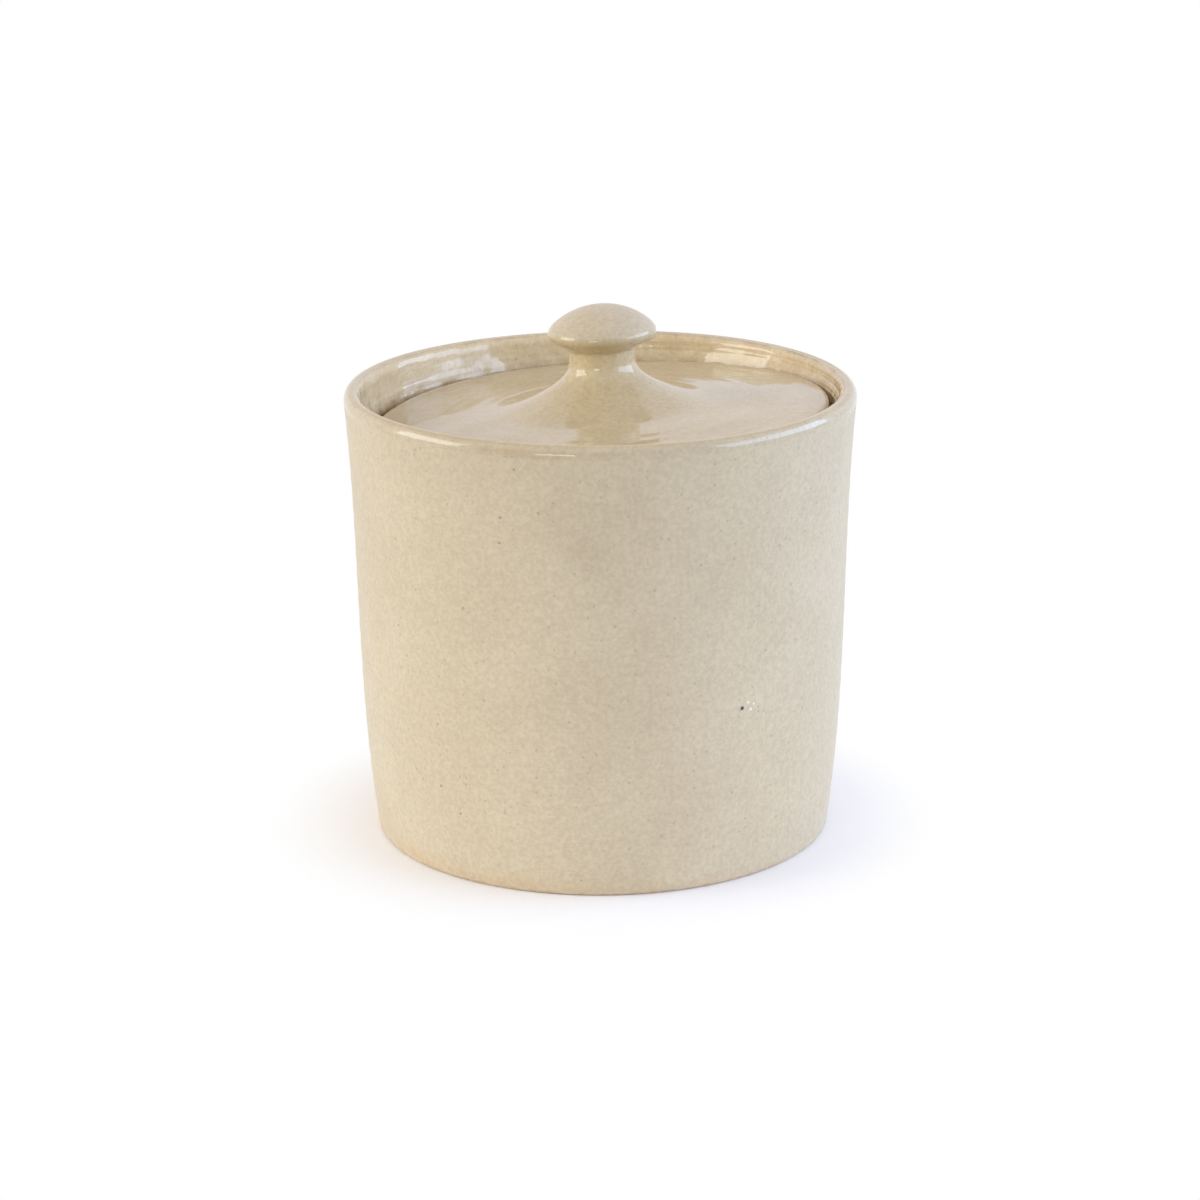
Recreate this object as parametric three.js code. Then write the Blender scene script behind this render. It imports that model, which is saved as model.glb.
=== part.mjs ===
// Wheel-thrown stoneware canister: a glazed jar, an inset lid and the lid's knob.
// Millimetres, +Z up. The origin is the middle of the foot, on the surface the jar stands on.
// The front of the jar faces -Y.
import * as THREE from "three";

// Jar, outside
const jarHeight = 115.6; // foot to rim
const rimRadius = 65;
const heelRadius = 58.7; // where the wall meets the rounded foot edge
const heelSwell = 3; // how far the lower wall stands out from a straight taper
const waistDraw = 1.3; // how far the upper wall draws in from a straight taper
const lipThickness = 4.2;
const lipCrown = 2.5; // rounded top of the lip, above the wall
const footRound = 1.2;
const footRingWidth = 8.5; // bare ring that the jar stands on
const footHollow = 1.8; // depth trimmed out inside the ring

// Jar, inside
const wallThickness = 5.4;
const floorThickness = 6.6;
const floorFillet = 9;
const galleryDepth = 12; // rim down to the ledge that carries the lid, on average
const galleryWall = 3.9; // wall left beside the ledge
const galleryFillet = 1;
const ledgeWidth = 6.6;
const ledgeNose = 1.2; // rounding of the ledge's inner edge
const ledgeThickness = 3.2;
const ledgeBlend = 9; // height in which the ledge runs back into the wall
const seatTilt = 4.2; // degrees that the hand-thrown ledge is out of level
const seatHighSide = -12; // degrees from +X towards +Y, where the ledge is highest

// Lid
const lidClearance = 2.4; // gap all round, so that the lid turns and lifts freely
const lidEdge = 4.7; // thickness at the edge
const lidEdgeRound = 1.4;
const lidRise = 2.2; // how far the flat of the lid climbs towards the flare
const flareRadius = 28; // where the flare of the knob leaves the flat of the lid
const bossRise = 4.3; // height of the flare up to the knob's foot
const bearingWidth = 5.5; // flat ring under the lid, on the ledge
const hollowDepth = 3.5; // trimmed out of the underside

// Knob
const knobFootRadius = 15;
const knobFootSlope = 0.51; // rise over run of the flare where lid and knob meet
const knobOffset = 0.6; // set by hand, a little right of the middle
const neckRadius = 8.4;
const neckStart = 7; // heights above the knob's foot
const neckEnd = 9.6;
const underStart = 10.3; // where the line of the head's underside meets the neck
const underSlope = 0.5; // rise over run of the underside beside the neck
const neckFillet = 0.8;
const headHeight = 14.9; // widest level of the head
const headRadius = 13.7;
const headDome = 6.4;
const domePower = 1.28; // 2 is an ellipse, less is a flatter lens with a keener edge
const headLip = 2; // rounded lower edge of the head
const headLipDepth = 1.8;
const headLipFrom = -50; // degrees below level, where the underside runs into the lip
const headLean = 0.5; // share of the ledge's lean that the head keeps

// Hairline between pieces that rest on each other
const touchGap = 0.05;

// Fineness of the turned surfaces
const jarSegments = 72;
const knobSegments = 48;

const wallTop = jarHeight - lipCrown;
const ledgeZ = jarHeight - galleryDepth;
const floorZ = footHollow + floorThickness;
const galleryRadius = outerRadiusAt(ledgeZ) - galleryWall;
const ledgeRadius = galleryRadius - ledgeWidth;
const lidRadius = galleryRadius - lidClearance;
const bossHeight = lidEdge + lidRise + bossRise;

function point(radius, height) {
  return new THREE.Vector2(radius, height);
}

// Points along an elliptical arc of a profile, angles in degrees.
function arc(radius, height, across, up, from, to, steps) {
  const points = [];
  for (let i = 0; i <= steps; i += 1) {
    const angle = THREE.MathUtils.degToRad(THREE.MathUtils.lerp(from, to, i / steps));
    points.push(point(radius + across * Math.cos(angle), height + up * Math.sin(angle)));
  }
  return points;
}

function levels(from, to, steps) {
  return Array.from({ length: steps + 1 }, (_, i) => THREE.MathUtils.lerp(from, to, i / steps));
}

// Where two sloping tangents of a profile meet, the handle of the curve between them.
function tangentMeet(a, slopeA, b, slopeB) {
  const radius = (b.y - a.y + slopeA * a.x - slopeB * b.x) / (slopeA - slopeB);
  return point(radius, a.y + slopeA * (radius - a.x));
}

// Outside of the wall: swells above the heel, stands almost upright, flares a little to the rim.
function outerRadiusAt(z) {
  const t = THREE.MathUtils.clamp((z - footRound) / (wallTop - footRound), 0, 1);
  const lower = THREE.MathUtils.lerp(heelRadius, rimRadius, 1 / 3) + heelSwell;
  const upper = THREE.MathUtils.lerp(heelRadius, rimRadius, 2 / 3) - waistDraw;
  const s = 1 - t;
  return heelRadius * s ** 3 + 3 * lower * t * s ** 2 + 3 * upper * t ** 2 * s + rimRadius * t ** 3;
}

function innerRadiusAt(z) {
  return outerRadiusAt(z) - wallThickness;
}

// Height that the out-of-level ledge adds at a place over the foot.
function seatLean(x, y) {
  const side = THREE.MathUtils.degToRad(seatHighSide);
  const slope = Math.tan(THREE.MathUtils.degToRad(seatTilt));
  return slope * (x * Math.cos(side) + y * Math.sin(side));
}

// Turns a profile about Z.
function turned(profile, segments) {
  const geometry = new THREE.LatheGeometry(profile, segments);
  geometry.rotateX(Math.PI / 2);
  return geometry;
}

// Moves every vertex by a rule of its own place.
function reshape(geometry, rule) {
  const position = geometry.getAttribute("position");
  const vertex = new THREE.Vector3();
  for (let i = 0; i < position.count; i += 1) {
    vertex.fromBufferAttribute(position, i);
    rule(vertex);
    position.setXYZ(i, vertex.x, vertex.y, vertex.z);
  }
  geometry.computeVertexNormals();
  return geometry;
}

function jarProfile() {
  const standRadius = heelRadius - footRound;
  const ringInner = standRadius - footRingWidth;
  const lipMiddle = rimRadius - lipThickness / 2;
  const ledgeUnder = ledgeZ - ledgeThickness;
  const blendEnd = ledgeUnder - ledgeBlend;
  const filletTop = floorZ + floorFillet;
  const underLedge = new THREE.CubicBezierCurve(
    point(ledgeRadius, ledgeUnder),
    point(ledgeRadius, ledgeUnder - ledgeBlend / 2),
    point(innerRadiusAt(blendEnd), blendEnd + ledgeBlend / 2),
    point(innerRadiusAt(blendEnd), blendEnd),
  );
  return [
    point(0, footHollow),
    point(ringInner - footHollow, footHollow),
    point(ringInner, 0),
    ...arc(standRadius, footRound, footRound, footRound, -90, 0, 4),
    ...levels(footRound, wallTop, 11).slice(1, -1).map((z) => point(outerRadiusAt(z), z)),
    ...arc(lipMiddle, wallTop, lipThickness / 2, lipCrown, 0, 180, 8),
    ...arc(galleryRadius - galleryFillet, ledgeZ + galleryFillet, galleryFillet, galleryFillet, 0, -90, 3),
    ...arc(ledgeRadius + ledgeNose, ledgeZ - ledgeNose, ledgeNose, ledgeNose, 90, 180, 3),
    ...underLedge.getPoints(5),
    ...levels(blendEnd, filletTop, 5).slice(1, -1).map((z) => point(innerRadiusAt(z), z)),
    ...arc(innerRadiusAt(filletTop) - floorFillet, filletTop, floorFillet, floorFillet, 0, -90, 5),
    point(0, floorZ),
  ];
}

// Share of the ledge's lean at a place on the jar: all of it at the ledge, none at the rim or lower wall.
function galleryShare(radius, z) {
  if (radius > outerRadiusAt(z) - lipThickness / 2) {
    return 0;
  }
  if (z > ledgeZ) {
    return (jarHeight - z) / galleryDepth;
  }
  const ledgeUnder = ledgeZ - ledgeThickness;
  return THREE.MathUtils.smoothstep(z, ledgeUnder - ledgeBlend, ledgeUnder);
}

function jarBody() {
  return reshape(turned(jarProfile(), jarSegments), (vertex) => {
    const share = galleryShare(Math.hypot(vertex.x, vertex.y), vertex.z);
    vertex.z += share * seatLean(vertex.x, vertex.y);
  });
}

function lidProfile() {
  const edgeMiddle = lidRadius - lidEdgeRound;
  const bearingInner = edgeMiddle - bearingWidth;
  const flatEnd = point(flareRadius, lidEdge + lidRise);
  const bossEdge = point(knobFootRadius, bossHeight);
  const flatSlope = -lidRise / (edgeMiddle - flareRadius);
  const hollow = new THREE.QuadraticBezierCurve(
    point(0, hollowDepth),
    point(0.9 * bearingInner, hollowDepth),
    point(bearingInner, 0),
  );
  const flare = new THREE.QuadraticBezierCurve(
    flatEnd,
    tangentMeet(flatEnd, flatSlope, bossEdge, -knobFootSlope),
    bossEdge,
  );
  return [
    ...hollow.getPoints(6),
    ...arc(edgeMiddle, lidEdgeRound, lidEdgeRound, lidEdgeRound, -90, 0, 3),
    ...arc(edgeMiddle, lidEdge - lidEdgeRound, lidEdgeRound, lidEdgeRound, 0, 90, 3),
    ...flare.getPoints(6),
    point(0, bossHeight),
  ];
}

// The flare follows the knob's place, the edge of the lid stays centred in the jar.
function lid() {
  return reshape(turned(lidProfile(), jarSegments), (vertex) => {
    if (vertex.z >= lidEdge) {
      const radius = Math.hypot(vertex.x, vertex.y);
      vertex.x += knobOffset * (1 - THREE.MathUtils.smoothstep(radius, knobFootRadius, flareRadius));
    }
    vertex.z += seatLean(vertex.x, vertex.y);
  });
}

// Top of the head, from its widest level to the middle.
function dome(steps) {
  return levels(0, Math.PI / 2, steps).map((angle) => {
    const rise = Math.sin(angle) ** (2 / domePower);
    return point(headRadius * Math.cos(angle), headHeight + headDome * rise);
  });
}

function knobProfile() {
  const foot = point(knobFootRadius, 0);
  const neck = point(neckRadius, neckStart);
  const flareHandle = point(neckRadius, knobFootSlope * (knobFootRadius - neckRadius));
  const flare = new THREE.QuadraticBezierCurve(foot, flareHandle, neck);
  const lip = arc(headRadius - headLipDepth, headHeight, headLipDepth, headLip, headLipFrom, 0, 4);
  const lipSlope = -headLip / headLipDepth / Math.tan(THREE.MathUtils.degToRad(headLipFrom));
  const underEdge = point(neckRadius + neckFillet, underStart + underSlope * neckFillet);
  const fillet = new THREE.QuadraticBezierCurve(
    point(neckRadius, neckEnd),
    point(neckRadius, underStart),
    underEdge,
  );
  const under = new THREE.QuadraticBezierCurve(
    underEdge,
    tangentMeet(underEdge, underSlope, lip[0], lipSlope),
    lip[0],
  );
  return [
    point(0, 0),
    ...flare.getPoints(6),
    ...fillet.getPoints(3),
    ...under.getPoints(5).slice(1),
    ...lip.slice(1),
    ...dome(8).slice(1, -1),
    point(0, headHeight + headDome),
  ];
}

// The foot leans with the lid, the head was pressed nearer to level.
function lidKnob() {
  return reshape(turned(knobProfile(), knobSegments), (vertex) => {
    const rise = THREE.MathUtils.smoothstep(vertex.z, neckStart, headHeight);
    const share = THREE.MathUtils.lerp(1, headLean, rise);
    vertex.z += share * seatLean(vertex.x + knobOffset, vertex.y);
  });
}

function piece(name, geometry, color, roughness) {
  const mesh = new THREE.Mesh(geometry, new THREE.MeshStandardMaterial({ color, roughness, metalness: 0 }));
  mesh.name = name;
  return mesh;
}

const canister = new THREE.Group();
canister.name = "stoneware_canister";
canister.add(piece("jar_body", jarBody(), 0xd6c6a8, 0.5));

const lidMesh = piece("lid", lid(), 0xc6b48f, 0.12);
lidMesh.position.set(0, 0, ledgeZ + touchGap);
canister.add(lidMesh);

const knobMesh = piece("lid_knob", lidKnob(), 0xcbb891, 0.3);
knobMesh.position.set(knobOffset, 0, lidMesh.position.z + bossHeight + touchGap);
canister.add(knobMesh);

export default canister;
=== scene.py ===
import math

import bpy
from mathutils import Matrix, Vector


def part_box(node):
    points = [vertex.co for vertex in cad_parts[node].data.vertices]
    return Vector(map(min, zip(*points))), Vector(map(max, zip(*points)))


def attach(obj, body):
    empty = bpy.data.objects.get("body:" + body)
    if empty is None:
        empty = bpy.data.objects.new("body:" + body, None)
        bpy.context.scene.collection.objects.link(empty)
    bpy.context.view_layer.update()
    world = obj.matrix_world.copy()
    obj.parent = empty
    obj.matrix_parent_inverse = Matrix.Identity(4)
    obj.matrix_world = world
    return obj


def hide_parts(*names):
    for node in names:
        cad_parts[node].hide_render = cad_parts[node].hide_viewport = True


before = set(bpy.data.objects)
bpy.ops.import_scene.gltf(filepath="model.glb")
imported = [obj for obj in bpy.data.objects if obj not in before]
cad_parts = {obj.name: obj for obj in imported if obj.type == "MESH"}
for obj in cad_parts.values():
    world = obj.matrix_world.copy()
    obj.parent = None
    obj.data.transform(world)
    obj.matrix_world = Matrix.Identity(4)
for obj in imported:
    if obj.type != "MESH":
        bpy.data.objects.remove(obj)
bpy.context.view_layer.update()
mm = 0.001
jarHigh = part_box("jar_body")[1]
print("frame loaded, rim", round(jarHigh.x / mm, 1), "mm from the axis")


# numbers: shares run from 0 to 1, bands are (start, end)

def blendTo(low, high, share):
    return low + (high - low) * share


def easeStep(value, start, end):
    t = min(max((value - start) / (end - start), 0), 1)
    return t * t * (3 - 2 * t)


# eased in over the first band and out over the second
def within(value, rise, fall):
    return easeStep(value, *rise) * (1 - easeStep(value, *fall))


# 1 at one side of a turned piece, fading both ways round; degrees
def sideShare(turn, middle, width):
    gap = (turn - middle + 180) % 360 - 180
    return math.exp(-(gap / width) ** 2)


# 1 on one side, 0 on the far side
def facing(turn, middle):
    return 0.5 + 0.5 * math.cos(math.radians(turn - middle))


# profiles: a point is (distance from the axis, height) in mm

def arcPoints(centre, across, up, fromAngle, toAngle, count):
    points = []
    for i in range(count + 1):
        angle = math.radians(blendTo(fromAngle, toAngle, i / count))
        points.append((centre[0] + across * math.cos(angle), centre[1] + up * math.sin(angle)))
    return points


def curvePoints(start, handle, end, count):
    points = []
    for i in range(count + 1):
        t = i / count
        s = 1 - t
        points.append(tuple(s * s * a + 2 * s * t * h + t * t * b for a, h, b in zip(start, handle, end)))
    return points


# where two straight lines meet, each given by a point and a slope
def tangentMeet(a, slopeA, b, slopeB):
    away = (b[1] - a[1] + slopeA * a[0] - slopeB * b[0]) / (slopeA - slopeB)
    return away, a[1] + slopeA * (away - a[0])


# wheel work: a profile drawn point by point and spun once round Z
wheel = {
    "turnSteps": 288, "mergeGap": 0.002, "smoothAngle": 30,
    "fineTall": 0.5, "finePitch": 0.62, "fineShift": 1.3,  # a finer ring over every throwing ring
}


def throwingRings(along, tall, pitch):
    turns = math.tau * along / pitch
    fine = math.sin(turns / wheel["finePitch"] + wheel["fineShift"])
    return tall * (math.sin(turns) + wheel["fineTall"] * fine)


def turnOnWheel(name, profile):
    bpy.ops.object.select_all(action="DESELECT")
    points = [(away * mm, height * mm) for away, height in profile]
    bpy.ops.mesh.primitive_plane_add(size=mm, location=(points[0][0], 0, points[0][1]))
    piece = bpy.context.object
    piece.name = name
    piece.data.name = name
    bpy.ops.object.transform_apply(location=True, rotation=True, scale=True)
    bpy.ops.object.mode_set(mode="EDIT")
    bpy.ops.mesh.select_all(action="SELECT")
    bpy.ops.mesh.merge(type="CENTER")  # the plane shrinks to the profile's first point
    for here, there in zip(points, points[1:]):
        move = (there[0] - here[0], 0, there[1] - here[1])
        bpy.ops.mesh.extrude_region_move(TRANSFORM_OT_translate={"value": move})
    bpy.ops.mesh.select_all(action="SELECT")
    bpy.ops.mesh.spin(steps=wheel["turnSteps"], angle=math.tau, center=(0, 0, 0), axis=(0, 0, 1))
    bpy.ops.mesh.select_all(action="SELECT")
    bpy.ops.mesh.remove_doubles(threshold=wheel["mergeGap"] * mm)
    bpy.ops.mesh.normals_make_consistent(inside=False)
    bpy.ops.object.mode_set(mode="OBJECT")
    bpy.ops.object.shade_smooth_by_angle(angle=math.radians(wheel["smoothAngle"]))
    print("turned", name, len(piece.data.polygons), "faces")
    return piece


# degrees round from the front, towards the right
def turnOf(vertex):
    return math.degrees(math.atan2(vertex.co.x, -vertex.co.y))


layerNames = ("gloss", "pool", "thin", "bare", "toast")


def unpainted(away, height, turn):
    return 0


# every glaze layer is a share at each vertex, set by a rule or left at 0
def paintPiece(piece, **rules):
    for layerName in layerNames:
        rule = rules.get(layerName, unpainted)
        layer = piece.data.attributes.new(layerName, "FLOAT", "POINT")
        for vertex, value in zip(piece.data.vertices, layer.data):
            away = math.hypot(vertex.co.x, vertex.co.y) / mm
            value.value = rule(away, vertex.co.z / mm, turnOf(vertex))


# the hand's own unevenness: every vertex goes out and up by a rule in mm
def touchByHand(piece, rule):
    for vertex in piece.data.vertices:
        away = math.hypot(vertex.co.x, vertex.co.y)
        outward, upward = rule(away / mm, vertex.co.z / mm, turnOf(vertex))
        if away > 0:
            vertex.co.x *= 1 + outward * mm / away
            vertex.co.y *= 1 + outward * mm / away
        vertex.co.z += upward * mm


# the thrown ledge is out of level, and all that sits on it leans with it; degrees
ledgeLean = {"tilt": 4.2, "highSide": -12.0}


def leanWithLedge(piece, share):
    slope = math.tan(math.radians(ledgeLean["tilt"]))
    side = math.radians(ledgeLean["highSide"])
    for vertex in piece.data.vertices:
        away = math.hypot(vertex.co.x, vertex.co.y) / mm
        across = vertex.co.x * math.cos(side) + vertex.co.y * math.sin(side)
        vertex.co.z += share(away, vertex.co.z / mm) * slope * across


# nodes

def addNode(tree, kind, inputs=None, **settings):
    node = tree.nodes.new(kind)
    for key, value in settings.items():
        setattr(node, key, value)
    for key, value in (inputs or {}).items():
        if isinstance(value, bpy.types.NodeSocket):
            tree.links.new(value, node.inputs[key])
        else:
            node.inputs[key].default_value = value
    return node


def mixColour(tree, share, first, second):
    node = addNode(tree, "ShaderNodeMix", data_type="RGBA")
    for slot, value in ((0, share), (6, first), (7, second)):  # the mix node's factor and two colours
        if isinstance(value, bpy.types.NodeSocket):
            tree.links.new(value, node.inputs[slot])
        elif slot:
            node.inputs[slot].default_value = (*value, 1)
        else:
            node.inputs[slot].default_value = value
    return node.outputs[2]


def sums(tree, operation, first, second):
    return addNode(tree, "ShaderNodeMath", {0: first, 1: second}, operation=operation).outputs[0]


def spread(tree, value, low, high, toLow=0.0, toHigh=1.0):
    ends = {"Value": value, "From Min": low, "From Max": high, "To Min": toLow, "To Max": toHigh}
    return addNode(tree, "ShaderNodeMapRange", ends, interpolation_type="SMOOTHSTEP").outputs["Result"]


def clouds(tree, coords, size, detail, roughness=0.55):
    ends = {"Vector": coords, "Scale": 1 / (size * mm), "Detail": detail, "Roughness": roughness}
    return addNode(tree, "ShaderNodeTexNoise", ends).outputs["Fac"]


def layerOf(tree, layerName):
    return addNode(tree, "ShaderNodeAttribute", attribute_name=layerName).outputs["Fac"]


# glaze

glaze = {
    "satinPale": (0.60, 0.512, 0.362), "satinWarm": (0.57, 0.48, 0.335),
    "glossPale": (0.58, 0.478, 0.30), "glossWarm": (0.53, 0.428, 0.26),
    # the pool colour is paler pooled glaze and partly painted light, lifting the gallery walls and the knob's
    # neck
    "poolColour": (0.69, 0.57, 0.365), "ironColour": (0.11, 0.08, 0.05),
    "clayPale": (0.62, 0.51, 0.37), "clayWarm": (0.55, 0.43, 0.29),
    # tints: layer, colour and the least share of it between patches
    "tints": (("toast", (0.58, 0.40, 0.225), 0.2), ("thin", (0.46, 0.335, 0.19), 0.35)),
    "satinRoughness": 0.42, "glossRoughness": 0.09, "clayRoughness": 0.85, "roughSwing": 0.03, "ior": 1.52,
    # clouds are (size in mm, detail, roughness), bands the part of them that is spread out
    "toneClouds": (30, 4.0), "patchClouds": (6, 3.0), "cloudBand": (0.35, 0.65),
    "glossColourBand": (0.85, 1.0),
    "grains": ((0.5, 0.025), (1.1, 0.05), (2.0, 0.025)),  # sizes in mm and how far each shades the glaze
    "grainDetail": 1.0, "grainBand": (0.3, 0.7), "clayBand": (0.4, 0.6),
    "fineSpecks": {"spacing": 1.6, "widest": 1.0, "bareCells": 0.4, "strength": 0.22},
    "coarseSpecks": {"spacing": 5.0, "widest": 1.0, "bareCells": 0.5, "strength": 0.55},
    "speckSoft": 0.4,
    "raggedBand": (0.2, 0.8), "ragged": 0.25, "bareEdge": (0.4, 0.6),
    # heights in mm
    "peelClouds": (2.6, 2.0, 0.4), "peelHeight": 0.02, "glossPeel": 0.3,
    "waveClouds": (13, 1.0, 0.4), "waveHeight": 0.12,
    "dimpleClouds": (6, 1.0, 0.4), "dimpleHeight": 0.8, "dimpleBand": (0.5, 1.0),
    "linePitch": 1.05, "lineDrift": 5.0,
}


# iron specks: dots in random cells, every cell with its own size of dot or none
def specks(tree, coords, kind):
    ends = {"Vector": coords, "Scale": 1 / (kind["spacing"] * mm)}
    cells = addNode(tree, "ShaderNodeTexVoronoi", ends)
    chance = addNode(tree, "ShaderNodeSeparateColor", {"Color": cells.outputs["Color"]}).outputs["Red"]
    widest = kind["widest"] / kind["spacing"] / 2
    ends = {"Value": chance, "From Min": kind["bareCells"], "From Max": 1.0, "To Min": 0.0, "To Max": widest}
    size = addNode(tree, "ShaderNodeMapRange", ends).outputs["Result"]
    inDot = sums(tree, "SUBTRACT", size, cells.outputs["Distance"])
    return sums(tree, "MULTIPLY", spread(tree, inDot, 0.0, glaze["speckSoft"] * widest), kind["strength"])


# marks are spots at known places on the wall, lineHeight is that of the fine turning lines in mm
def stonewareGlaze(name, marks=(), lineHeight=0):
    material = bpy.data.materials.new(name)
    material.use_nodes = True
    tree = material.node_tree
    shader = tree.nodes["Principled BSDF"]
    coords = addNode(tree, "ShaderNodeTexCoord").outputs["Object"]
    gloss = layerOf(tree, "gloss")
    patch = clouds(tree, coords, *glaze["patchClouds"])

    tone = spread(tree, clouds(tree, coords, *glaze["toneClouds"]), *glaze["cloudBand"])
    satin = mixColour(tree, tone, glaze["satinPale"], glaze["satinWarm"])
    glossy = mixColour(tree, tone, glaze["glossPale"], glaze["glossWarm"])
    colour = mixColour(tree, spread(tree, gloss, *glaze["glossColourBand"]), satin, glossy)

    # glaze pooled pale in the gallery, partly painted light that brightens the inner walls; toasted by the
    # kiln, with painted warm light on the gallery's right side; run thin over the edges, with painted shade
    # in the corner by the lid
    pool = layerOf(tree, "pool")
    colour = mixColour(tree, pool, colour, glaze["poolColour"])
    for layerName, tint, least in glaze["tints"]:
        patches = spread(tree, patch, *glaze["cloudBand"], least, 1.0)
        share = sums(tree, "MULTIPLY", layerOf(tree, layerName), patches)
        colour = mixColour(tree, share, colour, tint)

    # sandy body showing through the glaze
    for size, shade in glaze["grains"]:
        sand = clouds(tree, coords, size, glaze["grainDetail"])
        shading = spread(tree, sand, *glaze["grainBand"], 1 - shade, 1 + shade)
        shaded = addNode(tree, "ShaderNodeVectorMath", {0: colour, "Scale": shading}, operation="SCALE")
        colour = shaded.outputs[0]
    for kind in (glaze["fineSpecks"], glaze["coarseSpecks"]):
        colour = mixColour(tree, specks(tree, coords, kind), colour, glaze["ironColour"])

    pits = None
    for mark in marks:
        gap = addNode(tree, "ShaderNodeVectorMath", {0: coords, 1: mark["place"]}, operation="DISTANCE")
        half = mark["size"] * mm / 2
        inMark = spread(tree, gap.outputs["Value"], half * mark["core"], half, mark["strength"], 0.0)
        colour = mixColour(tree, inMark, colour, mark["colour"])
        dent = sums(tree, "MULTIPLY", inMark, mark["dent"])
        pits = sums(tree, "ADD", pits, dent) if pits else dent

    # unglazed clay with a ragged glaze line
    fringe = spread(tree, patch, *glaze["raggedBand"], -glaze["ragged"], glaze["ragged"])
    bareShare = spread(tree, sums(tree, "ADD", layerOf(tree, "bare"), fringe), *glaze["bareEdge"])
    clay = mixColour(tree, spread(tree, sand, *glaze["clayBand"]), glaze["clayPale"], glaze["clayWarm"])
    colour = mixColour(tree, bareShare, colour, clay)
    tree.links.new(colour, shader.inputs["Base Color"])

    rough = spread(tree, gloss, 0.0, 1.0, glaze["satinRoughness"], glaze["glossRoughness"])
    swing = spread(tree, patch, *glaze["grainBand"], -glaze["roughSwing"], glaze["roughSwing"])
    rough = sums(tree, "ADD", rough, swing)
    clayRough = addNode(tree, "ShaderNodeMix", data_type="FLOAT")
    tree.links.new(bareShare, clayRough.inputs[0])
    tree.links.new(rough, clayRough.inputs[2])
    clayRough.inputs[3].default_value = glaze["clayRoughness"]
    tree.links.new(clayRough.outputs[0], shader.inputs["Roughness"])

    # heights: orange peel on the satin, slow waves in the gloss, dimples in the pool, turning lines, pits
    peelTall = spread(tree, gloss, 0.0, 1.0, glaze["peelHeight"], glaze["peelHeight"] * glaze["glossPeel"])
    peel = sums(tree, "MULTIPLY", clouds(tree, coords, *glaze["peelClouds"]), peelTall)
    waveTall = spread(tree, gloss, 0.0, 1.0, 0.0, glaze["waveHeight"])
    wave = sums(tree, "MULTIPLY", clouds(tree, coords, *glaze["waveClouds"]), waveTall)
    dimpleTall = spread(tree, pool, *glaze["dimpleBand"], 0.0, glaze["dimpleHeight"])
    dimple = sums(tree, "MULTIPLY", clouds(tree, coords, *glaze["dimpleClouds"]), dimpleTall)
    height = sums(tree, "ADD", sums(tree, "ADD", peel, wave), dimple)
    if lineHeight:
        level = addNode(tree, "ShaderNodeSeparateXYZ", {"Vector": coords}).outputs["Z"]
        turns = sums(tree, "MULTIPLY", level, math.tau / (glaze["linePitch"] * mm))
        drift = sums(tree, "MULTIPLY", patch, glaze["lineDrift"])
        line = addNode(tree, "ShaderNodeMath", {0: sums(tree, "ADD", turns, drift)}, operation="SINE")
        lineTall = spread(tree, gloss, 0.0, 1.0, lineHeight, 0.0)
        height = sums(tree, "ADD", height, sums(tree, "MULTIPLY", line.outputs[0], lineTall))
    if pits:
        height = sums(tree, "SUBTRACT", height, pits)
    bump = addNode(tree, "ShaderNodeBump", {"Height": height, "Distance": mm, "Strength": 1.0})
    tree.links.new(bump.outputs["Normal"], shader.inputs["Normal"])
    shader.inputs["IOR"].default_value = glaze["ior"]
    return material


# jar

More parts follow.
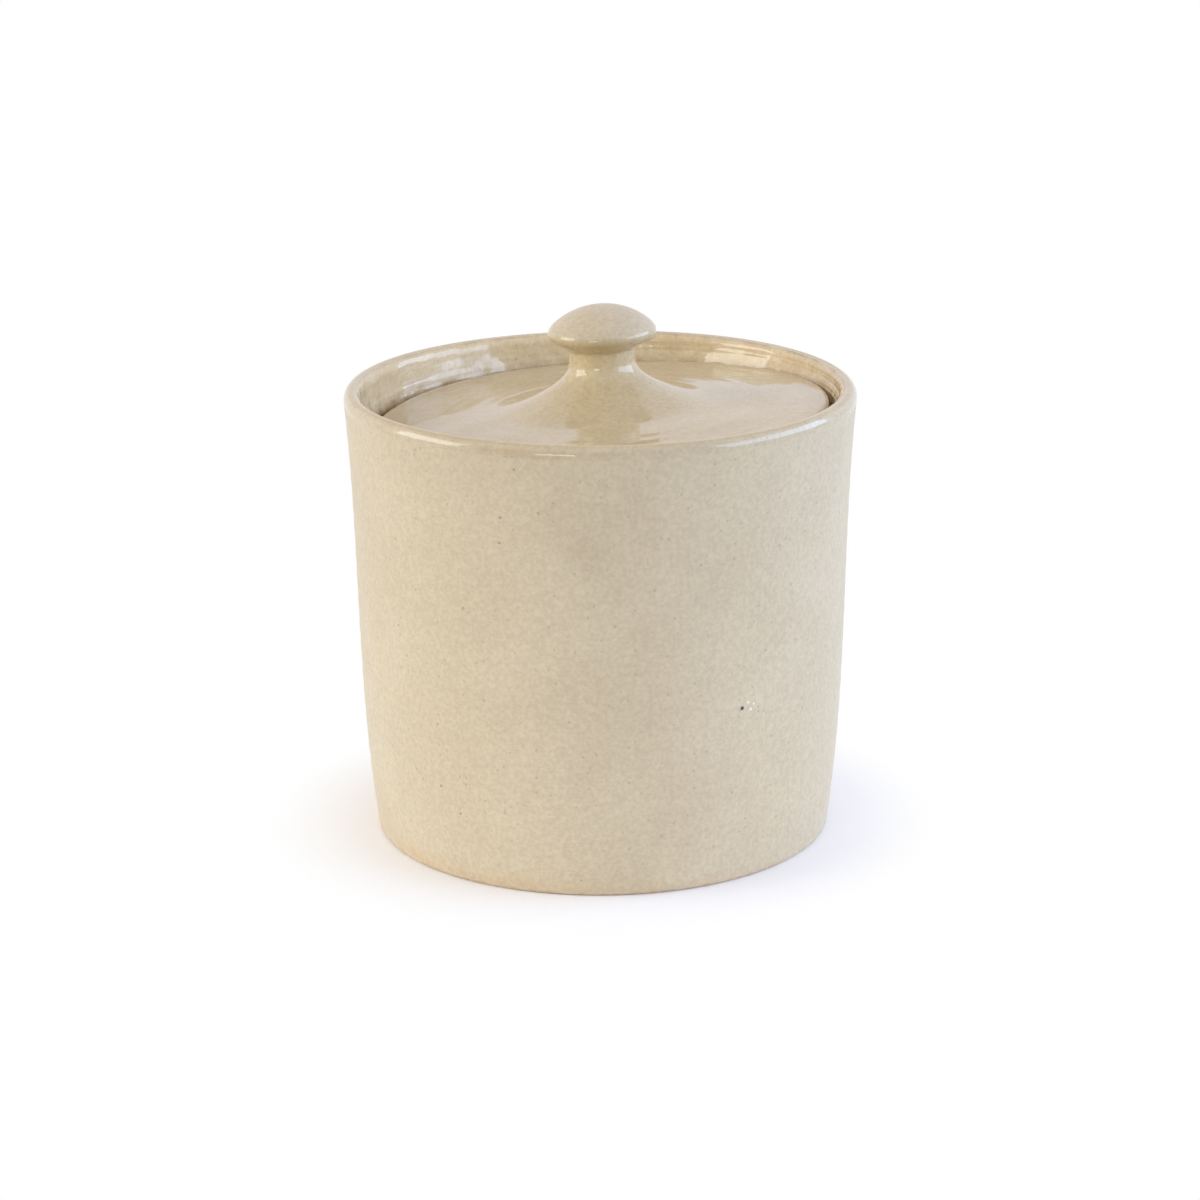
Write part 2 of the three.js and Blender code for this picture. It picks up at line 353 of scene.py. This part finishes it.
ironMark = {"colour": (0.02, 0.016, 0.012), "strength": 0.95, "core": 0.5, "dent": 0.05}
pitMark = {"colour": (0.88, 0.84, 0.75), "strength": 1.0, "core": 0.4, "dent": 0.08}
speckMark = {"colour": (0.16, 0.11, 0.07), "strength": 0.6, "core": 0.3, "dent": 0.0}
smudgeMark = {"colour": (0.43, 0.345, 0.235), "strength": 0.22, "core": 0.1, "dent": 0.0}
jar = {
    # wall, foot and floor
    "heelRadius": 58.7, "heelSwell": 3.0, "waistDraw": 1.3, "lip": 4.2, "lipCrown": 2.5,
    "footRound": 1.2, "footRing": 8.5, "ringFlat": 4.0, "ringEdge": (0.5, 0.3),
    "footHollow": 1.8, "hollowRings": (12, 24, 36), "hollowEnd": 2.6, "hollowSlope": 2.2, "hollowHandle": 1.0,
    "wall": 5.4, "floor": 6.6, "floorFillet": 9.0, "floorWave": 0.15, "floorPitch": 9,
    # gallery and its ledge
    "galleryDepth": 12.0, "galleryWall": 3.9, "galleryFillet": 1.2, "gallerySlope": 1.0, "galleryCurve": 0.8,
    "ledgeWidth": 6.6, "ledgeNose": 1.2, "ledgeThick": 3.2, "ledgeBlend": 9.0,
    "steps": {"ring": 5, "foot": 8, "outside": 100, "lip": 20, "gallery": 48, "round": 6,
              "blend": 10, "inside": 50, "corner": 12, "floor": 20},
    # throwing rings, in bands of height where they rise and fade
    "ringHeight": 0.03, "ringPitch": 6.4, "ringRise": (3, 14), "ringFade": 8,
    "galleryRing": 0.04, "galleryPitch": 2.1, "galleryRise": (1.4, 3), "galleryFade": (-2, 0.5),
    "swing": 0.25, "swings": 5,  # how the gallery's rings grow and shrink on the way round
    "innerRing": 0.22, "innerPitch": 8.5, "innerRise": (20, 26), "innerFade": (-20, -12),
    "lineHeight": 0.006, "touchFrom": 3, "touchReach": 40,  # foot and floor are left true
    "ovals": ((0.14, 2, 40), (0.07, 3, 110)),  # mm out of round, times round, degrees of shift
    "rimWave": 0.55, "rimWaveTurn": 140.0, "rimWaveSpread": 42, "rimWaveFrom": 1.5,
    # glaze layers; depths are below the rim, heights from the foot or from the ledge
    "insideBand": (0.02, 0.25), "floorMargin": 2,
    "lipGloss": 0.85, "lipGlossDepth": (4.6, 2.0), "poolGloss": 0.82,
    "poolInward": (0.4, 0.95), "poolRise": (0.8, 2),
    "breakDepth": ((3.6, 2.4), (1.6, 0.6)), "breakTurn": ((-31, -22), (-3, 6)), "breakThin": (0.12, 0.5),
    # the corner band is painted shade along the gallery wall just above the lid's edge
    "noseThin": 0.7, "noseDrop": 0.6, "noseBand": (0.6, 1.8), "cornerShadeBand": ((0, 1), (4.5, 5.3)),
    "glazeLine": (0.5, 1.6), "bareInset": 0.6, "bareThick": 0.7,
    "toastTurn": -47.0, "toastFrom": 1.0, "toastReach": (2.5, 6.5), "toastShare": (0.15, 0.5),
    # painted warm light: a golden tint on the gallery's right inner wall
    "warmLightTurn": 120.0, "warmLightShare": 0.4,
    # spots seen on the wall: kind, degrees round, height and size
    "marks": (
        (ironMark, 33.3, 46.4, 1.35),
        (pitMark, 35.0, 47.6, 0.9), (pitMark, 35.8, 45.7, 1.0), (pitMark, 36.6, 46.9, 0.8),
        (speckMark, -22.1, 97.1, 1.0), (speckMark, -22.5, 90.7, 0.9), (speckMark, -13.5, 99.0, 0.8),
        (speckMark, -46.2, 74.7, 0.9), (speckMark, -32.1, 72.9, 0.9), (speckMark, -53.4, 63.8, 1.1),
        (smudgeMark, -2.4, 89.0, 17.0),
    ),
}
jarRim = jarHigh.x / mm
jarTop = jarHigh.z / mm
wallTop = jarTop - jar["lipCrown"]
ledgeHeight = jarTop - jar["galleryDepth"]
ledgeUnder = ledgeHeight - jar["ledgeThick"]
blendEnd = ledgeUnder - jar["ledgeBlend"]
floorHeight = jar["footHollow"] + jar["floor"]


# radius of the outer wall: from the heel to the rim, swollen low and drawn in higher up
def jarOutside(height):
    t = min(max((height - jar["footRound"]) / (wallTop - jar["footRound"]), 0), 1)
    lower = blendTo(jar["heelRadius"], jarRim, 1 / 3) + jar["heelSwell"]
    upper = blendTo(jar["heelRadius"], jarRim, 2 / 3) - jar["waistDraw"]
    s = 1 - t
    return jar["heelRadius"] * s ** 3 + 3 * lower * t * s ** 2 + 3 * upper * t ** 2 * s + jarRim * t ** 3


def jarInside(height):
    return jarOutside(height) - jar["wall"]


galleryRadius = jarOutside(ledgeHeight) - jar["galleryWall"]
ledgeRadius = galleryRadius - jar["ledgeWidth"]


# from the middle of the underside, round the foot, up, over the lip, and down inside to the floor
def jarProfile():
    steps = jar["steps"]
    stand = jar["heelRadius"] - jar["footRound"]
    ringInner = stand - jar["footRing"]
    hollow = jar["footHollow"]
    points = [(0, hollow)]
    points += [(away, hollow) for away in (*jar["hollowRings"], ringInner - jar["hollowEnd"])]
    edge = jar["ringEdge"]
    slopeStart = (ringInner - jar["hollowSlope"], hollow)
    slopeHandle = (ringInner - jar["hollowHandle"], hollow)
    points += curvePoints(slopeStart, slopeHandle, (ringInner, edge[1]), steps["ring"])
    points += [(ringInner + edge[0], 0), (ringInner + jar["ringFlat"], 0)]
    points += arcPoints((stand, jar["footRound"]), jar["footRound"], jar["footRound"], -90, 0, steps["foot"])
    for i in range(1, steps["outside"]):
        height = blendTo(jar["footRound"], wallTop, i / steps["outside"])
        points.append((jarOutside(height), height))
    half = jar["lip"] / 2
    points += arcPoints((jarRim - half, wallTop), half, jar["lipCrown"], 0, 180, steps["lip"])
    fillet = jar["galleryFillet"]
    wallFoot = galleryRadius - jar["gallerySlope"]
    for i in range(1, steps["gallery"]):
        share = i / steps["gallery"]
        away = blendTo(jarRim - jar["lip"], wallFoot, easeStep(share, 0, jar["galleryCurve"]))
        points.append((away, blendTo(wallTop, ledgeHeight + fillet, share)))
    points += arcPoints((wallFoot - fillet, ledgeHeight + fillet), fillet, fillet, 0, -90, steps["round"])
    nose = jar["ledgeNose"]
    points += arcPoints((ledgeRadius + nose, ledgeHeight - nose), nose, nose, 90, 180, steps["round"])
    for i in range(1, steps["blend"]):
        height = blendTo(ledgeUnder, blendEnd, i / steps["blend"])
        share = easeStep(height, ledgeUnder, blendEnd)
        points.append((blendTo(ledgeRadius, jarInside(blendEnd), share), height))
    filletTop = floorHeight + jar["floorFillet"]
    for i in range(steps["inside"]):
        height = blendTo(blendEnd, filletTop, i / steps["inside"])
        points.append((jarInside(height), height))
    corner = (jarInside(filletTop) - jar["floorFillet"], filletTop)
    points += arcPoints(corner, jar["floorFillet"], jar["floorFillet"], 0, -90, steps["corner"])
    for i in range(1, steps["floor"]):
        away = corner[0] * (1 - i / steps["floor"])
        wave = jar["floorWave"] * math.sin(math.tau * away / jar["floorPitch"])
        points.append((away, floorHeight + wave))
    points.append((0, floorHeight))
    return points


def insideShare(away, height):
    if height < floorHeight - jar["floorMargin"]:
        return 0
    return easeStep((jarOutside(height) - away) / jar["lip"], *jar["insideBand"])


# throwing rings wind up the walls, and no wall is quite round
def jarTouch(away, height, turn):
    if height < jar["touchFrom"] or away < jar["touchReach"]:
        return 0, 0
    climb = turn / 360
    oval = sum(tall * math.sin(math.radians(times * turn + shift)) for tall, times, shift in jar["ovals"])
    outward = oval * height / jarTop
    wave = jar["rimWave"] * sideShare(turn, jar["rimWaveTurn"], jar["rimWaveSpread"])
    upward = wave * easeStep(height, ledgeHeight + jar["rimWaveFrom"], wallTop)
    aboveLedge = height - ledgeHeight
    if insideShare(away, height) < 0.5:
        calm = within(height, jar["ringRise"], (wallTop - jar["ringFade"], wallTop))
        ring = throwingRings(height + climb * jar["ringPitch"], jar["ringHeight"], jar["ringPitch"])
        outward += calm * ring
    elif aboveLedge > jar["galleryRise"][0]:
        calm = easeStep(aboveLedge, *jar["galleryRise"])
        calm *= 1 - easeStep(height - wallTop, *jar["galleryFade"])
        swing = 1 - jar["swing"] + jar["swing"] * math.sin(math.radians(jar["swings"] * turn))
        ring = throwingRings(height + climb * jar["galleryPitch"], jar["galleryRing"], jar["galleryPitch"])
        outward += calm * swing * ring
    elif aboveLedge < jar["innerFade"][1]:
        calm = easeStep(height, *jar["innerRise"]) * (1 - easeStep(aboveLedge, *jar["innerFade"]))
        ring = throwingRings(height + climb * jar["innerPitch"], jar["innerRing"], jar["innerPitch"])
        outward += calm * ring
    return outward, upward


# how far the gallery leans: not at the rim, fully at the ledge, fading out below it
def galleryShare(away, height):
    if away > jarOutside(height) - jar["lip"] / 2:
        return 0
    if height > ledgeHeight:
        return (jarTop - height) / jar["galleryDepth"]
    return easeStep(height, blendEnd, ledgeUnder)


def jarGloss(away, height, turn):
    lip = jar["lipGloss"] * easeStep(jarTop - height, *jar["lipGlossDepth"])
    inside = insideShare(away, height) * blendTo(1, jar["poolGloss"], jarPoolAndSheen(away, height, turn))
    return max(inside, lip)


# pale pooled glaze on the gallery wall, partly painted light standing in for light reflected on the inner
# walls
def jarPoolAndSheen(away, height, turn):
    inward = easeStep((jarOutside(height) - away) / jar["lip"], *jar["poolInward"])
    return inward * easeStep(height - ledgeHeight, *jar["poolRise"])


# glaze broken brown under the lip and thin over the ledge's nose; in the corner by the lid the same dark
# colour is painted shade, the dark slit between wall and lid
def jarThinAndCornerShade(away, height, turn):
    inside = insideShare(away, height)
    side = within(turn, *jar["breakTurn"])
    under = (1 - inside) * within(jarTop - height, *jar["breakDepth"]) * blendTo(*jar["breakThin"], side)
    fromNose = abs(height - ledgeHeight + jar["noseDrop"]) + abs(away - ledgeRadius)
    nose = jar["noseThin"] * (1 - easeStep(fromNose, *jar["noseBand"]))
    # painted shade: the wall darkened from the ledge up to just above the lid's edge
    corner = inside * within(height - ledgeHeight, *jar["cornerShadeBand"])
    return max(under, nose, corner)


def jarBare(away, height, turn):
    if height < floorHeight - jar["floorMargin"]:
        underFoot = away < jar["heelRadius"] - jar["footRound"]
        return 1 if underFoot else 1 - easeStep(height, *jar["glazeLine"])
    onLedge = abs(height - ledgeHeight) < jar["bareThick"]
    return 1 if onLedge and away < galleryRadius - jar["gallerySlope"] - jar["bareInset"] else 0


# the foot took colour on the side where the flame passed; the warm tint on the gallery's right side is
# painted warm light
def jarToastAndWarmLight(away, height, turn):
    side = facing(turn, jar["toastTurn"])
    reach = blendTo(*jar["toastReach"], side)
    foot = blendTo(*jar["toastShare"], side ** 2) * (1 - easeStep(height, jar["toastFrom"], reach))
    # painted warm light on the right side of the gallery wall
    paintedWarmLight = jar["warmLightShare"] * facing(turn, jar["warmLightTurn"])
    return max(foot, paintedWarmLight * jarPoolAndSheen(away, height, turn))


def wallMarks():
    marks = []
    for kind, turn, height, size in jar["marks"]:
        angle = math.radians(turn)
        away = jarOutside(height) * mm
        place = (away * math.sin(angle), -away * math.cos(angle), height * mm)
        marks.append({**kind, "place": place, "size": size})
    return marks


jarPiece = turnOnWheel("jarBody", jarProfile())
paintPiece(jarPiece, gloss=jarGloss, pool=jarPoolAndSheen, thin=jarThinAndCornerShade, bare=jarBare, toast=jarToastAndWarmLight)
touchByHand(jarPiece, jarTouch)
leanWithLedge(jarPiece, galleryShare)
jarPiece.data.materials.append(stonewareGlaze("jarGlaze", wallMarks(), jar["lineHeight"]))
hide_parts("jar_body")
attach(jarPiece, "jar")
print("jar done")


# lid

lid = {
    "clearance": 2.4, "edge": 4.7, "edgeRound": 1.4, "rise": 2.2, "flareRadius": 28.0, "bossRise": 4.3,
    "bearing": 5.5, "hollow": 3.5, "hollowHandle": 0.9, "seatGap": 0.05,
    # the knob's foot, where the faces that meet under it stand back from each other
    "footRadius": 15.0, "footSlope": 0.51, "footCore": 7, "hiddenStep": 0.3, "knobOffset": 0.6,
    "steps": {"hollow": 24, "edgeUnder": 6, "edgeTop": 8, "top": 70, "flare": 40},
    "ridgeHeight": 0.022, "ridgePitch": 6.6, "ridgeRise": 3, "ridgeCalm": 0.3, "ridgeCalmReach": 8,
    "warpRise": 1.8, "warpTurn": -145.0, "warpSpread": 48.0,  # the edge that rose in the firing
    "warpFrom": 3, "warpPower": 1.5,
    "dipHeight": 0.035, "dipRise": (16, 24), "dipFade": (-4, -1), "topMargin": 0.3,
    "dips": ((0.31, 0.17, 1.1), (-0.13, 0.37, 2.3), (0.23, -0.29, 0.0)),  # waves: across, along, shift
    "edgeThin": 0.5, "edgeThinBand": (0.3, 1.4), "bareHeight": 0.5, "bareFrom": 40,
}
lidRadius = galleryRadius - lid["clearance"]
bossHeight = lid["edge"] + lid["rise"] + lid["bossRise"]
lidSeat = ledgeHeight + lid["seatGap"]
lidGlaze = stonewareGlaze("lidGlaze")


# from the middle of the underside, round the edge, in over the top and up the flare
def lidProfile():
    steps = lid["steps"]
    edgeRound = lid["edgeRound"]
    edgeMiddle = lidRadius - edgeRound
    bearingInner = edgeMiddle - lid["bearing"]
    flatEnd = (lid["flareRadius"], lid["edge"] + lid["rise"])
    flatSlope = -lid["rise"] / (edgeMiddle - lid["flareRadius"])
    bossEdge = (lid["footRadius"], bossHeight)
    hollowHandle = (lid["hollowHandle"] * bearingInner, lid["hollow"])
    points = curvePoints((0, lid["hollow"]), hollowHandle, (bearingInner, 0), steps["hollow"])
    points += arcPoints((edgeMiddle, edgeRound), edgeRound, edgeRound, -90, 0, steps["edgeUnder"])
    points += arcPoints((edgeMiddle, lid["edge"] - edgeRound), edgeRound, edgeRound, 0, 90, steps["edgeTop"])
    for i in range(1, steps["top"]):
        away = blendTo(edgeMiddle, flatEnd[0], i / steps["top"])
        nearFlare = easeStep(away, flatEnd[0], flatEnd[0] + lid["ridgeCalmReach"])
        calm = easeStep(away, edgeMiddle, edgeMiddle - lid["ridgeRise"])
        calm *= blendTo(lid["ridgeCalm"], 1, nearFlare)
        ridge = calm * throwingRings(away, lid["ridgeHeight"], lid["ridgePitch"])
        points.append((away, lid["edge"] - flatSlope * (edgeMiddle - away) + ridge))
    flareHandle = tangentMeet(flatEnd, flatSlope, bossEdge, -lid["footSlope"])
    points += curvePoints(flatEnd, flareHandle, bossEdge, steps["flare"])
    step = lid["hiddenStep"]
    points += [(away, bossHeight - 2 * step) for away in (lid["footRadius"] - step, lid["footCore"], 0)]
    return [(away, height + lidSeat) for away, height in points]


def lidTouch(away, height, turn):
    warpStart = lid["footRadius"] + lid["warpFrom"]
    outer = max(away - warpStart, 0) / (lidRadius - warpStart)
    warp = lid["warpRise"] * sideShare(turn, lid["warpTurn"], lid["warpSpread"]) * outer ** lid["warpPower"]
    if height < lidSeat + lid["edge"] - lid["topMargin"]:
        return 0, warp
    angle = math.radians(turn)
    x, y = away * math.sin(angle), -away * math.cos(angle)
    calm = easeStep(away, *lid["dipRise"]) * (1 - easeStep(away - lidRadius, *lid["dipFade"]))
    dips = sum(math.sin(across * x + along * y + shift) for across, along, shift in lid["dips"])
    return 0, warp + calm * lid["dipHeight"] * dips


# the flare follows the knob, which was set a little off the middle
def shiftFlare(piece, offset):
    for vertex in piece.data.vertices:
        if vertex.co.z / mm >= lidSeat + lid["edge"]:
            away = math.hypot(vertex.co.x, vertex.co.y) / mm
            vertex.co.x += offset * mm * (1 - easeStep(away, lid["footRadius"], lid["flareRadius"]))


def lidGloss(away, height, turn):
    return 1


def lidThin(away, height, turn):
    return lid["edgeThin"] * (1 - easeStep(abs(away - lidRadius), *lid["edgeThinBand"]))


def lidBare(away, height, turn):
    return 1 if height < lidSeat + lid["bareHeight"] and away > lid["bareFrom"] else 0


def fullLean(away, height):
    return 1


lidPiece = turnOnWheel("lidDisc", lidProfile())
paintPiece(lidPiece, gloss=lidGloss, thin=lidThin, bare=lidBare)
touchByHand(lidPiece, lidTouch)
shiftFlare(lidPiece, lid["knobOffset"])
leanWithLedge(lidPiece, fullLean)
lidPiece.data.materials.append(lidGlaze)
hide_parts("lid")
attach(lidPiece, "lid")
print("lid done")


# knob

knob = {
    "neckRadius": 8.4, "neckStart": 7.0, "neckEnd": 9.6, "neckFillet": 0.8,
    "underStart": 10.3, "underSlope": 0.5,
    "headHeight": 14.9, "headRadius": 13.7, "headDome": 6.4, "domePower": 1.28, "headLean": 0.5,
    "rimRound": 1.9, "rimLevel": 14.44, "rimFrom": -58, "rimTo": 45,
    "steps": {"foot": 40, "neck": 8, "under": 16, "rim": 20, "dome": 30},
    # a stretch of rim left thicker
    "bluntTurn": 90.0, "bluntSpread": 30.0, "bluntFrom": 10.0, "bluntReach": (2.1, 0.9),
    # glaze layers, by height above the lid's boss
    "headSatin": 0.75, "satinBand": (14.6, 17.0), "neckPoolAndSheen": 0.5, "poolBand": ((2, 6), (9, 11)),
    "underThin": 0.3, "thinDrop": 2, "thinBand": (0.5, 1.8),
}
knobSeat = lidSeat + bossHeight


# from the middle of the foot, up the neck, out under the head, round its rim and over the dome
def knobProfile():
    steps = knob["steps"]
    neckRadius = knob["neckRadius"]
    headRadius = knob["headRadius"]
    footEdge = (lid["footRadius"], 0)
    footHandle = (neckRadius, lid["footSlope"] * (lid["footRadius"] - neckRadius))
    points = [(0, 0), (lid["footCore"], 0)]
    points += curvePoints(footEdge, footHandle, (neckRadius, knob["neckStart"]), steps["foot"])
    fillet = knob["neckFillet"]
    underEdge = (neckRadius + fillet, knob["underStart"] + knob["underSlope"] * fillet)
    neckTop = (neckRadius, knob["neckEnd"])
    neckHandle = (neckRadius, knob["underStart"])
    points += curvePoints(neckTop, neckHandle, underEdge, steps["neck"])
    rimRound = knob["rimRound"]
    rimMiddle = (headRadius - rimRound, knob["rimLevel"])
    rimArc = arcPoints(rimMiddle, rimRound, rimRound, knob["rimFrom"], knob["rimTo"], steps["rim"])
    rimSlope = -1 / math.tan(math.radians(knob["rimFrom"]))
    underHandle = tangentMeet(underEdge, knob["underSlope"], rimArc[0], rimSlope)
    points += curvePoints(underEdge, underHandle, rimArc[0], steps["under"])[1:]
    points += rimArc[1:]
    domeFrom = math.acos(rimArc[-1][0] / headRadius)
    for i in range(1, steps["dome"]):
        angle = blendTo(domeFrom, math.pi / 2, i / steps["dome"])
        rise = math.sin(angle) ** (2 / knob["domePower"])
        points.append((headRadius * math.cos(angle), knob["headHeight"] + knob["headDome"] * rise))
    points.append((0, knob["headHeight"] + knob["headDome"]))
    return [(away, height + knobSeat) for away, height in points]


# a blunt stretch of rim: its lower half comes out to the full radius
def knobTouch(away, height, turn):
    if not knob["bluntFrom"] < height - knobSeat < knob["rimLevel"]:
        return 0, 0
    short = knob["headRadius"] - away
    side = math.exp(-((turn - knob["bluntTurn"]) / knob["bluntSpread"]) ** 2)
    return side * short * easeStep(short, *knob["bluntReach"]), 0


def moveAside(piece, offset):
    for vertex in piece.data.vertices:
        vertex.co.x += offset * mm


def knobGloss(away, height, turn):
    return 1 - knob["headSatin"] * easeStep(height - knobSeat, *knob["satinBand"])


# half the pool colour on the neck, partly painted light that brightens it
def knobPoolAndSheen(away, height, turn):
    return knob["neckPoolAndSheen"] * within(height - knobSeat, *knob["poolBand"])


def knobThin(away, height, turn):
    fromEdge = abs(height - knobSeat - knob["rimLevel"] + knob["thinDrop"])
    return knob["underThin"] * (1 - easeStep(fromEdge, *knob["thinBand"]))


# the foot leans with the lid, the head was pressed nearer to level
def headShare(away, height):
    return blendTo(1, knob["headLean"], easeStep(height - knobSeat, knob["neckStart"], knob["headHeight"]))


knobPiece = turnOnWheel("lidKnob", knobProfile())
paintPiece(knobPiece, gloss=knobGloss, pool=knobPoolAndSheen, thin=knobThin)
touchByHand(knobPiece, knobTouch)
moveAside(knobPiece, lid["knobOffset"])
leanWithLedge(knobPiece, headShare)
knobPiece.data.materials.append(lidGlaze)
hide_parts("lid_knob")
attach(knobPiece, "lid")
print("knob done")


# floor, light and camera; metres

studio = {
    "tableReach": 0.36, "tableSides": 96, "tableColour": (0.95, 0.95, 0.95), "tableRoughness": 0.9,
    "tableSheen": 0.1, "whiteFrom": 0.057, "whiteTo": 0.09,
    "skyFront": (0.70, 0.68, 0.62), "skyBack": (0.95, 0.94, 1.0), "frontToBack": (-0.9, 0.3),
    "skyTop": (0.70, 0.64, 0.65), "sideToTop": (0.35, 0.9),
    "skyUnder": (0.05, 0.05, 0.05), "horizon": (-0.08, 0.0),
    "softboxes": (
        {"name": "leftBox", "azimuth": -81, "distance": 0.9, "height": 0.38, "wide": 0.6, "tall": 0.5,
         "level": 4.45, "colour": (0.985, 1.0, 0.96)},
        {"name": "rightBox", "azimuth": 86, "distance": 0.9, "height": 0.38, "wide": 1.1, "tall": 0.5,
         "level": 4.7, "colour": (0.495, 0.665, 1.0)},
        {"name": "frontBox", "azimuth": -19, "distance": 1.05, "height": 0.2, "wide": 0.3, "tall": 0.2,
         "level": 6.0, "colour": (1.0, 1.0, 1.0)},
    ),
    "aimHeight": 0.058,
}


# white paper: the object's shadow falls on it close by, further off it is plain white
def makeFloor():
    bpy.ops.object.select_all(action="DESELECT")
    bpy.ops.mesh.primitive_circle_add(vertices=studio["tableSides"], radius=studio["tableReach"],
                                      fill_type="NGON", location=(0, 0, 0))
    floor = bpy.context.object
    floor.name = "floor"
    material = bpy.data.materials.new("floorPaper")
    material.use_nodes = True
    tree = material.node_tree
    shader = tree.nodes["Principled BSDF"]
    shader.inputs["Base Color"].default_value = (*studio["tableColour"], 1)
    shader.inputs["Roughness"].default_value = studio["tableRoughness"]
    shader.inputs["Specular IOR Level"].default_value = studio["tableSheen"]
    coords = addNode(tree, "ShaderNodeTexCoord").outputs["Object"]
    reach = addNode(tree, "ShaderNodeVectorMath", {0: coords}, operation="LENGTH").outputs["Value"]
    path = addNode(tree, "ShaderNodeLightPath").outputs
    seen = sums(tree, "MAXIMUM", path["Is Camera Ray"], path["Is Glossy Ray"])
    share = sums(tree, "MULTIPLY", seen, spread(tree, reach, studio["whiteFrom"], studio["whiteTo"]))
    white = addNode(tree, "ShaderNodeEmission", {"Color": (1, 1, 1, 1), "Strength": 1.0})
    mix = addNode(tree, "ShaderNodeMixShader", {0: share, 1: shader.outputs[0], 2: white.outputs[0]})
    tree.links.new(mix.outputs[0], tree.nodes["Material Output"].inputs["Surface"])
    floor.data.materials.append(material)


# the camera sees plain white round the object, and reflections see white below the horizon
def makeSky():
    world = bpy.data.worlds.new("studioSky")
    bpy.context.scene.world = world
    world.use_nodes = True
    tree = world.node_tree
    background = tree.nodes["Background"]
    direction = addNode(tree, "ShaderNodeTexCoord").outputs["Generated"]
    axes = addNode(tree, "ShaderNodeSeparateXYZ", {"Vector": direction}).outputs
    toBack = spread(tree, axes["Y"], *studio["frontToBack"])
    sky = mixColour(tree, toBack, studio["skyFront"], studio["skyBack"])
    sky = mixColour(tree, spread(tree, axes["Z"], *studio["sideToTop"]), sky, studio["skyTop"])
    path = addNode(tree, "ShaderNodeLightPath").outputs
    under = mixColour(tree, path["Is Glossy Ray"], studio["skyUnder"], (1, 1, 1))
    sky = mixColour(tree, spread(tree, axes["Z"], *studio["horizon"]), under, sky)
    tree.links.new(mixColour(tree, path["Is Camera Ray"], sky, (1, 1, 1)), background.inputs["Color"])
    background.inputs["Strength"].default_value = 1.0


def makeSoftbox(box):
    aim = Vector((0, 0, studio["aimHeight"]))
    angle = math.radians(box["azimuth"])  # round from the front, towards the right
    place = Vector((math.sin(angle) * box["distance"], -math.cos(angle) * box["distance"], box["height"]))
    turn = (aim - place).to_track_quat("-Z", "Y").to_euler()
    bpy.ops.object.light_add(type="AREA", location=place, rotation=turn)
    lamp = bpy.context.object
    lamp.name = box["name"]
    lamp.data.shape = "RECTANGLE"
    lamp.data.size = box["wide"]
    lamp.data.size_y = box["tall"]
    # level 1 is as bright as white paper
    lamp.data.energy = box["level"] * math.pi * box["wide"] * box["tall"]
    lamp.data.color = box["colour"]


# fitted to the outline in the photo; lens and sensor in mm, angles in degrees
view = {
    "distance": 0.8789, "elevation": 16.765, "roll": 0.422, "lens": 102.22, "sensor": 36,
    "aim": (-0.000386, 0, 0.058624),
}


def makeCamera():
    tilt = math.radians(view["elevation"])
    aim = Vector(view["aim"])
    place = aim + view["distance"] * Vector((0, -math.cos(tilt), math.sin(tilt)))
    bpy.ops.object.camera_add(location=place)
    camera = bpy.context.object
    camera.name = "photoCamera"
    camera.rotation_euler = (math.radians(90) - tilt, 0, 0)
    camera.rotation_euler.rotate_axis("Z", -math.radians(view["roll"]))
    camera.data.sensor_width = view["sensor"]
    camera.data.lens = view["lens"]
    bpy.context.scene.camera = camera


makeFloor()
makeSky()
for box in studio["softboxes"]:
    makeSoftbox(box)
makeCamera()
bpy.context.scene.view_settings.view_transform = "Standard"
print("studio done")
